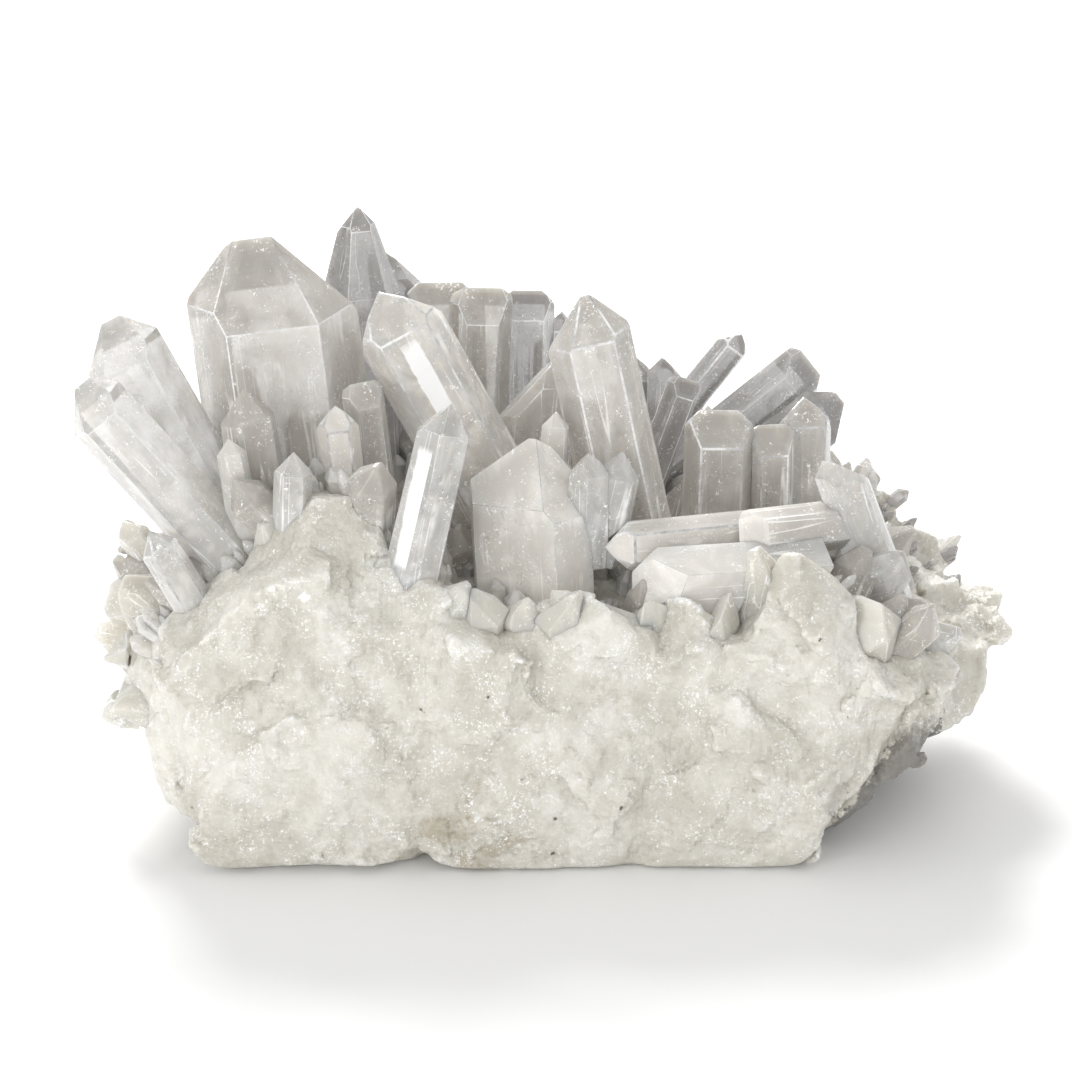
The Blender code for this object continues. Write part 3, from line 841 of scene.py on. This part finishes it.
def close_gaps(mesh, neighbours):
    """Moves the points that lie just off a neighbouring crystal into it, as the two are grown together."""
    for vertex in mesh.vertices:
        place = neighbours.find_nearest(vertex.co, GAP_REACH)[0]
        if place is not None:
            vertex.co += (place - vertex.co) * GAP_OVERLAP


# %% [markdown]
# Every edge gets a narrow bevel in the frosted finish. Quartz also looks whiter along the border of each
# face, because there one looks through the edge next to it, and that light is painted on the strip. An
# inset would fold on narrow faces, so these strips are cut by planes parallel to each edge.

# %% Edges and borders
EDGE_WIDTH = 0.22 * MM
EDGE_ANGLE = math.radians(14)
BORDER_SHARE = 0.09  # width of a face's border, as a share of the crystal's least side
BROAD = 5  # a face with fewer borders than this across it gets none
CUT_DISTANCE = 1e-7
EDGE_SLOT, BORDER_SLOT = 1, 2


def bevel_edges(piece, roots):
    """Bevels the sharp edges, apart from those that are hidden in the rock."""
    start_editing(piece, "EDGE")
    bpy.ops.mesh.select_all(action="DESELECT")
    mesh = bmesh.from_edit_mesh(piece.data)
    for edge in mesh.edges:
        sharp = len(edge.link_faces) == 2 and edge.calc_face_angle() > EDGE_ANGLE
        if sharp and not all(vertex.index in roots for vertex in edge.verts):
            edge.select_set(True)
    bmesh.update_edit_mesh(piece.data)
    bpy.ops.mesh.bevel(offset=EDGE_WIDTH, segments=1, material=EDGE_SLOT, clamp_overlap=True)
    stop_editing()


def inward_planes(face, width):
    """For each edge of a face that is long enough: a point on it, and the direction into the face."""
    return [
        (loop.vert.co.copy(), face.normal.cross(loop.link_loop_next.vert.co - loop.vert.co).normalized())
        for loop in face.loops
        if loop.edge.calc_length() > 2 * width
    ]


def border_faces(piece, width):
    """Cuts a strip along each edge of every broad face, and gives the strips a finish of their own."""
    mesh = bmesh.new()
    mesh.from_mesh(piece.data)
    family = mesh.faces.layers.int.new("family")
    least_area = (BROAD * width) ** 2
    broad = [face for face in mesh.faces if face.material_index == 0 and face.calc_area() > least_area]
    outlines = {}
    for number, face in enumerate(broad, start=1):
        face[family] = number
        outlines[number] = inward_planes(face, width)
    for number, planes in outlines.items():
        for point, inward in planes:
            parts = [face for face in mesh.faces if face[family] == number]
            edges = {edge for face in parts for edge in face.edges}
            corners = {corner for face in parts for corner in face.verts}
            bmesh.ops.bisect_plane(
                mesh,
                geom=parts + list(edges) + list(corners),
                dist=CUT_DISTANCE,
                plane_co=point + inward * width,
                plane_no=inward,
            )
    for face in mesh.faces:
        middle = face.calc_center_median()
        planes = outlines.get(face[family], ())
        if any((middle - point).dot(inward) < width for point, inward in planes):
            face.material_index = BORDER_SLOT
    mesh.faces.layers.int.remove(mesh.faces.layers.int["family"])
    mesh.to_mesh(piece.data)
    mesh.free()


# %% [markdown]
# Each crystal is a merged copy of its imported piece, so it keeps that piece's place, lean and faces. The
# lists say which crystals are paler, duller or greyer: those that aren't in a list are plain clear
# quartz.

# %% The crystals
KINDS = {
    "bright": "outer_left_upper outer_left_lower left_low right_rhomb "
    "right_wedge right_upright small_upright_left twin_left twin_right",
    "pale": "front_centre front_slab mid_left_point spear_left_small small_left_of_main",
    "dull": "reclining_a reclining_b",
    "rim": "left_side_a left_side_b left_side_c left_side_d",
    "smoky": "back_left_spire back_left_shoulder back_right_a back_right_b back_right_d "
    "dark_back_a dark_back_b dark_back_c back_rough_a back_rough_b",
    "window": "window_crystal",
    "blade": "front_blade",
}


def kind_of(node):
    return next((kind for kind, nodes in KINDS.items() if node in nodes.split()), "clear")


def make_crystal(node, rock_tree):
    """Makes one crystal and returns its length."""
    piece = copy_of_node(node, f"{node}_crystal")
    axis = long_axis(piece.data)
    roots = lengthen_root(piece.data, axis, rock_tree)
    before = CRYSTALS[:CRYSTALS.index(node)]
    if before:
        close_gaps(piece.data, skin_tree(before))
    kind = kind_of(node)
    for finish in (crystal_finishes[kind], edge_finish, border_finishes[kind]):
        piece.data.materials.append(finish)
    bevel_edges(piece, roots)
    border_faces(piece, BORDER_SHARE * min(piece.dimensions))
    length = write_own_coordinates(piece.data, axis)
    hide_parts(node)
    place_in_cluster(piece)
    return length


rock_tree = skin_tree([ROCK])
lengths = [make_crystal(node, rock_tree) for node in CRYSTALS]
print(len(lengths), "crystals, longest", round(max(lengths) / MM, 1), "mm")

# %% [markdown]
# Along the front rim the rock ends in short broken crystals, grown together with it. They are as milky as
# the rock, but their faces are flat and their edges crisp. Each is a six-sided column drawn in to a ridge
# off its axis, and then broken: two cuts near its tip leave flat breaks. Their feet lean back into the
# rock, so that they grow out of it and don't stand in front of it.

# %% One crystal of the rim
POINT_SIDES = 6
RIDGE = (0.20, 0.45)  # length and width of the ridge, as shares of the column's
CAP_HEIGHT = 0.45  # height of the drawn-in end, as a share of the width
BREAKS = 2
BREAK_LOOK_UP = (0.3, 0.9)
BREAK_SHIFT = 0.06  # how far a break lies off the ridge, as a share of the width


def make_column(name, radius, height):
    """A six-sided column that stands on the origin."""
    bpy.ops.object.select_all(action="DESELECT")
    bpy.ops.mesh.primitive_cylinder_add(
        vertices=POINT_SIDES, radius=radius, depth=height, location=(0, 0, height / 2)
    )
    column = bpy.context.active_object
    column.name = name
    bpy.ops.object.transform_apply(location=True)
    return column


def make_rim_crystal(name, tip, foot, width, thickness, turn, ridge_shift, dice):
    """Modelled upright on the origin, then stood between its foot and its tip."""
    tip, foot, width = FOOT + Vector(tip) * MM, FOOT + Vector(foot) * MM, width * MM
    axis = (tip - foot).normalized()
    length = (tip - foot).length
    shoulder = length - width * CAP_HEIGHT
    crystal = make_column(name, width / 2, shoulder)
    start_editing(crystal, "FACE")
    select_top_face(crystal)
    aside = ridge_shift * width
    bpy.ops.mesh.extrude_region_move(TRANSFORM_OT_translate={"value": (aside, 0, length - shoulder)})
    bpy.ops.transform.resize(value=(*RIDGE, 1), center_override=(aside, 0, length))
    for _ in range(BREAKS):
        way = dice.uniform(0, math.tau)
        look = Vector((math.cos(way), math.sin(way), dice.uniform(*BREAK_LOOK_UP))).normalized()
        point = Vector((aside, 0, length)) + look * width * dice.uniform(-BREAK_SHIFT, BREAK_SHIFT)
        bpy.ops.mesh.select_all(action="SELECT")
        bpy.ops.mesh.bisect(plane_co=point, plane_no=look, use_fill=True, clear_outer=True)
    bpy.ops.mesh.select_all(action="SELECT")
    bpy.ops.transform.rotate(value=math.radians(turn), orient_axis="Z", center_override=(0, 0, 0))
    bpy.ops.transform.resize(value=(1, thickness * MM / width, 1), center_override=(0, 0, 0))
    stop_editing()
    right = (Vector((1, 0, 0)) - axis * axis.x).normalized()
    stand = Matrix((right, axis.cross(right), axis)).transposed().to_4x4()
    crystal.data.transform(Matrix.Translation(foot) @ stand)
    bevel_edges(crystal, set())
    write_own_coordinates(crystal.data, axis)
    return crystal


# %% [markdown]
# The table has a row for each crystal of the rim. They are all of one finish, so they are joined into one.

# %% The crystals of the rim
# Name, tip and foot (mm from the cluster's foot), width and thickness (mm), turn (degrees), and how far the
# ridge sits off the axis, as a share of the width.
RIM = [
    ("rim_block", (36.2, -33.6, 50.2), (41.0, -25.0, 24), 24.0, 15.0, 12, -0.25),
    ("rim_block_shoulder", (46.6, -31.4, 43.2), (46.0, -23.0, 22), 13.0, 12.0, 25, 0.10),
    ("rim_right", (22.4, -34.2, 43.8), (21.0, -25.0, 24), 12.0, 10.0, 20, 0.30),
    ("rim_spike_right", (15.4, -35.0, 42.2), (14.6, -26.0, 24), 8.0, 8.0, 34, -0.20),
    ("rim_middle", (6.0, -35.0, 45.4), (10.2, -26.0, 24), 17.0, 11.0, 8, -0.35),
    ("rim_middle_small", (-0.4, -36.0, 45.0), (1.8, -27.0, 24), 9.0, 8.5, 16, 0.35),
    ("rim_spike", (-5.4, -35.8, 43.2), (-3.6, -27.0, 26), 7.0, 7.0, 14, 0.10),
    ("rim_left", (-11.4, -36.2, 45.0), (-11.6, -27.0, 24), 8.6, 8.0, 24, -0.35),
    ("rim_left_edge", (-17.2, -35.4, 46.0), (-19.0, -27.0, 24), 11.0, 9.0, 10, 0.30),
    ("rim_far", (53.2, -24.8, 39.0), (50.4, -18.0, 20), 11.0, 9.0, 20, 0.30),
    ("rim_farther", (59.6, -20.0, 35.0), (55.4, -13.0, 18), 10.0, 8.0, 35, -0.25),
    ("peak", (-38.6, -26.0, 54.0), (-35.0, -20.0, 26), 22.0, 15.0, 6, -0.22),
    ("peak_shoulder", (-27.6, -29.0, 49.4), (-27.4, -22.0, 24), 13.0, 11.0, 30, 0.20),
    ("peak_foot", (-47.6, -28.0, 42.6), (-43.4, -20.0, 22), 14.0, 11.0, 18, -0.30),
    ("flank_upper", (-70.0, -14.0, 37.5), (-54.0, -8.0, 26), 12.0, 10.0, 20, 0.20),
    ("flank_middle", (-72.0, -14.0, 29.0), (-54.0, -8.0, 22), 14.0, 12.0, 40, -0.25),
    ("flank_lower", (-71.0, -19.6, 19.5), (-54.0, -14.0, 22), 13.0, 11.0, 5, 0.25),
    ("flank_back", (-68.0, 2.0, 31.0), (-54.0, 2.0, 22), 11.0, 10.0, 30, -0.10),
]
RIM_SEED = 31


def make_rim():
    dice = random.Random(RIM_SEED)
    rim = joined([make_rim_crystal(*values, dice) for values in RIM])
    rim.name = "rim_crystals"
    rim.data.materials.append(crystal_finishes["rim"])
    rim.data.materials.append(rim_edge_finish)
    place_in_cluster(rim)
    print(rim.name, len(RIM), "crystals,", len(rim.data.polygons), "faces")


make_rim()

# %% [markdown]
# Between the large crystals the rock is crusted with small points, called druse. A few are modelled as by
# hand: a six-sided column whose top is drawn in to an uneven tip. They stay simple, because hundreds of
# copies of them follow, each turned and scaled its own way.

# %% Model points for the druse
COLUMN_SHARE = 0.7  # how much of a point's height is column, and the rest is tip
TIP = (0.12, 0.3)  # length and width of the tip's ridge, as shares of the column's
POINT_BEVEL = 0.018


def model_point(name, slimness, tip_shift):
    """One small crystal of unit height that stands on the origin."""
    point = make_column(name, slimness, COLUMN_SHARE)
    start_editing(point, "FACE")
    select_top_face(point)
    aside = (tip_shift, tip_shift / 2)
    bpy.ops.mesh.extrude_region_move(TRANSFORM_OT_translate={"value": (*aside, 1 - COLUMN_SHARE)})
    bpy.ops.transform.resize(value=(*TIP, 1), center_override=(*aside, 1))
    bpy.ops.mesh.select_all(action="SELECT")
    bpy.ops.mesh.bevel(
        offset=POINT_BEVEL, segments=1, affect="EDGES", material=EDGE_SLOT, clamp_overlap=True
    )
    stop_editing()
    return point


POINT_MODELS = [
    model_point("slim_point", 0.20, 0.04),
    model_point("stout_point", 0.34, -0.06),
    model_point("leaning_point", 0.27, 0.10),
]
print("model points of", [len(model.data.polygons) for model in POINT_MODELS], "faces")

# %% [markdown]
# The copies stand in the bed between the large crystals, on both flanks and on the back slope. Each leans
# out from the middle of the cluster, as the large crystals do, and partly the way that the rock looks
# there.

# %% The druse
SEAT_MIDDLE = FOOT + Vector((0, 0, -25)) * MM
SKIN_PULL = 0.5
LEAN_SPREAD = 0.22
SUNK_SHARE = 0.25


def seats_on_rock(count, wanted, seed):
    """Places on the rock's skin, spread evenly by area, with the way that each looks."""
    faces = [face for face in rock.data.polygons if wanted(face.center, face.normal)]
    dice = random.Random(seed)
    chosen = dice.choices(faces, weights=[face.area for face in faces], k=count)
    return [(face.center.copy(), face.normal.copy()) for face in chosen]


def grow_points(name, kind, seats, heights, seed):
    """Copies of the modelled points on the given seats, joined into one piece. Heights are in mm."""
    dice = random.Random(seed)
    copies = []
    for place, look in seats:
        model = dice.choice(POINT_MODELS)
        copy = bpy.data.objects.new(name, model.data.copy())
        bpy.context.scene.collection.objects.link(copy)
        outwards = (place - SEAT_MIDDLE).normalized()
        jitter = Vector([dice.gauss(0, LEAN_SPREAD) for _ in range(3)])
        axis = (look * SKIN_PULL + outwards + jitter).normalized()
        height = dice.uniform(heights[0] * MM, heights[1] * MM)
        spin = Matrix.Rotation(dice.uniform(0, math.tau), 4, "Z")
        turn = axis.to_track_quat("Z", "Y").to_matrix().to_4x4() @ spin
        seat = Matrix.Translation(place - axis * height * SUNK_SHARE)
        copy.data.transform(seat @ turn @ Matrix.Scale(height, 4))
        write_own_coordinates(copy.data, axis)
        copies.append(copy)
    druse = joined(copies)
    druse.data.materials.append(crystal_finishes[kind])
    druse.data.materials.append(edge_finish)
    place_in_cluster(druse)
    print(druse.name, len(copies), "points,", len(druse.data.polygons), "faces")


def bed(place, look):
    return look.z > 0.35 and place.z > 27 * MM and -27 * MM < place.y and place.x < 54 * MM


def left_flank(place, look):
    return place.x < -52 * MM and 26 * MM < place.z < 42 * MM and look.x < -0.2


def right_flank(place, look):
    return place.x > 54 * MM and place.y > 4 * MM and 24 * MM < place.z < 42 * MM and look.z > 0.2


def back_flank(place, look):
    return place.y > 20 * MM and 12 * MM < place.z < 38 * MM and look.y > 0.3


# Name, kind of crystal, how many, where, and the least and the most height (mm).
DRUSE = [
    ("bed_druse", "pale", 520, bed, (2.0, 6.0)),
    ("bed_points", "clear", 120, bed, (6, 13)),
    ("left_druse", "rim", 18, left_flank, (1.8, 3.4)),
    ("right_druse", "smoky", 16, right_flank, (2.4, 4.2)),
    ("back_druse", "pale", 160, back_flank, (2.5, 7)),
]
SIZE_SEEDS = 20
for number, (name, kind, count, where, heights) in enumerate(DRUSE, start=1):
    grow_points(name, kind, seats_on_rock(count, where, number), heights, SIZE_SEEDS + number)
for model in POINT_MODELS:
    bpy.data.objects.remove(model, do_unlink=True)

# %% [markdown]
# The cluster stands on a plain pale floor, so wide that its edge never shows. It lies a hair below the
# cluster's foot, because two faces in one plane flicker.

# %% Floor
FLOOR_WIDTH = 40.0
FLOOR_GAP = 0.02 * MM
FLOOR_COLOUR = (0.93, 0.93, 0.93, 1)


def make_floor():
    bpy.ops.mesh.primitive_plane_add(size=FLOOR_WIDTH, location=FOOT - Vector((0, 0, FLOOR_GAP)))
    floor = bpy.context.active_object
    floor.name = "floor"
    finish = Finish("pale_floor")
    floor.data.materials.append(finish.finished(finish.shader(Base_Color=FLOOR_COLOUR, Roughness=0.9)))


make_floor()
print("floor", FLOOR_WIDTH, "m wide")

# %% [markdown]
# The light is soft: a white surround, one bright disk high behind the cluster and a little to its left,
# and a weak wide one low in front. The disk behind lights the glass through and throws the shadow forwards
# and to the right, and the weak one keeps the front wall from going grey.

# %% Light
# Name, place (m from the cluster's foot), width of the disk (m) and power (W).
LIGHTS = [
    ("key", (-0.16, 0.60, 0.64), 0.36, 7.2),
    ("fill", (-0.50, -1.00, 0.30), 0.8, 4.3),
]
LIGHT_TARGET = FOOT + Vector((0, 0, 0.03))
SURROUND_STRENGTH = 0.80


def make_light(name, place, size, power):
    data = bpy.data.lights.new(name, "AREA")
    data.shape = "DISK"
    data.size = size
    data.energy = power
    light = bpy.data.objects.new(name, data)
    bpy.context.scene.collection.objects.link(light)
    light.location = FOOT + Vector(place)
    light.rotation_euler = (LIGHT_TARGET - light.location).to_track_quat("-Z", "Y").to_euler()


def make_world():
    world = bpy.data.worlds.new("studio")
    world.use_nodes = True
    bpy.context.scene.world = world
    background = world.node_tree.nodes["Background"]
    background.inputs["Color"].default_value = (1, 1, 1, 1)
    background.inputs["Strength"].default_value = SURROUND_STRENGTH


make_world()
for values in LIGHTS:
    make_light(*values)
print("lights:", [name for name, *_ in LIGHTS])

# %% [markdown]
# A long lens from half a metre away shows the cluster as one looks at it on a table, a little from above,
# with little perspective. The standard view transform keeps the white floor white.

# %% Camera
CAMERA_LENS = 100
CAMERA_SENSOR = 36
CAMERA_DISTANCE = 484 * MM
CAMERA_ELEVATION = math.radians(20)
LOOK_AT = FOOT + Vector((-2.6, -0.7, 40.5)) * MM
NEAREST_SEEN = 0.01


def make_camera():
    data = bpy.data.cameras.new("camera")
    data.lens = CAMERA_LENS
    data.sensor_width = CAMERA_SENSOR
    data.clip_start = NEAREST_SEEN
    camera = bpy.data.objects.new("camera", data)
    bpy.context.scene.collection.objects.link(camera)
    back = Vector((0, -math.cos(CAMERA_ELEVATION), math.sin(CAMERA_ELEVATION)))
    camera.location = LOOK_AT + back * CAMERA_DISTANCE
    camera.rotation_euler = (-back).to_track_quat("-Z", "Y").to_euler()
    bpy.context.scene.camera = camera


make_camera()
bpy.context.scene.view_settings.view_transform = "Standard"
print("camera", round(CAMERA_DISTANCE / MM), "mm away, lens", CAMERA_LENS, "mm")
